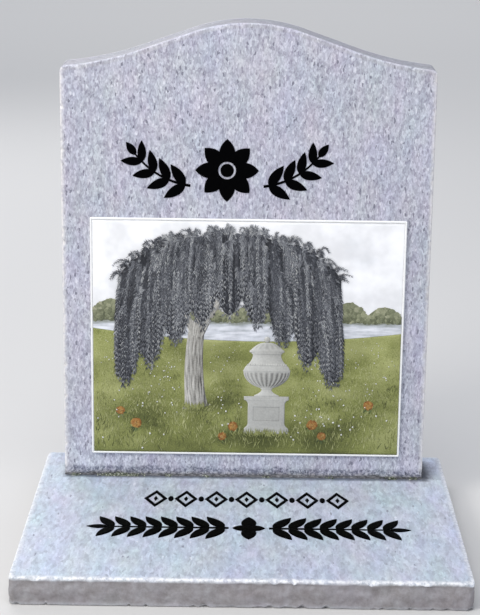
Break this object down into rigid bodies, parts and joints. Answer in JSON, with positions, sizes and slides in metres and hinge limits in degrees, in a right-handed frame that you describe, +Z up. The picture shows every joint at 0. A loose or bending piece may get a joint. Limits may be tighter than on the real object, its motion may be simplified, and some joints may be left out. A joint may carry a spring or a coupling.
{
  "type": "headstone",
  "caption": "Upright granite headstone with an ogee top on a flat base slab, with a glazed willow-and-urn plaque and black raised laurel ornament. It stands by its own weight.",
  "frame": {"origin": "on the ground, under the middle of the base slab's footprint", "axes": "+Z up; -Y is the front, the side that shows the plaque; +X to the right as seen from the front"},
  "size_m": [0.692, 0.545, 0.816],
  "materials": {
    "tablet_granite": "satin",
    "slab_granite": "matte",
    "setting_mortar": "matte",
    "white_glaze": "gloss",
    "sky_glaze": "gloss",
    "far_tree_glaze": "gloss",
    "water_glaze": "gloss",
    "meadow_glaze": "gloss",
    "bark_glaze": "gloss",
    "willow_glaze": "satin",
    "urn_glaze": "gloss",
    "marigold_glaze": "gloss",
    "black_paint": "satin"
  },
  "bodies": {
    "root": {"base_slab": "slab_granite", "bead_1": "black_paint", "bead_2": "black_paint", "bead_3": "black_paint", "bead_4": "black_paint", "bead_5": "black_paint", "bead_6": "black_paint", "laurel_left": "black_paint", "laurel_right": "black_paint", "lozenge_1": "black_paint", "lozenge_2": "black_paint", "lozenge_3": "black_paint", "lozenge_4": "black_paint", "lozenge_5": "black_paint", "lozenge_6": "black_paint", "lozenge_7": "black_paint", "lozenge_heart_1": "black_paint", "lozenge_heart_2": "black_paint", "lozenge_heart_3": "black_paint", "lozenge_heart_4": "black_paint", "lozenge_heart_5": "black_paint", "lozenge_heart_6": "black_paint", "lozenge_heart_7": "black_paint", "marigold_1": "marigold_glaze", "marigold_2": "marigold_glaze", "marigold_3": "marigold_glaze", "marigold_4": "marigold_glaze", "marigold_5": "marigold_glaze", "marigold_6": "marigold_glaze", "marigold_7": "marigold_glaze", "picture_far_trees": "far_tree_glaze", "picture_meadow": "meadow_glaze", "picture_sky": "sky_glaze", "picture_water": "water_glaze", "plaque": "white_glaze", "rosette_boss": "black_paint", "rosette_petals": "black_paint", "runner_left": "black_paint", "runner_quatrefoil": "black_paint", "runner_right": "black_paint", "setting_bed": "setting_mortar", "tablet": "tablet_granite", "urn_lid": "urn_glaze", "urn_pedestal": "urn_glaze", "urn_vase": "urn_glaze", "willow_crown": "willow_glaze", "willow_trunk": "bark_glaze"}
  },
  "joints": []
}
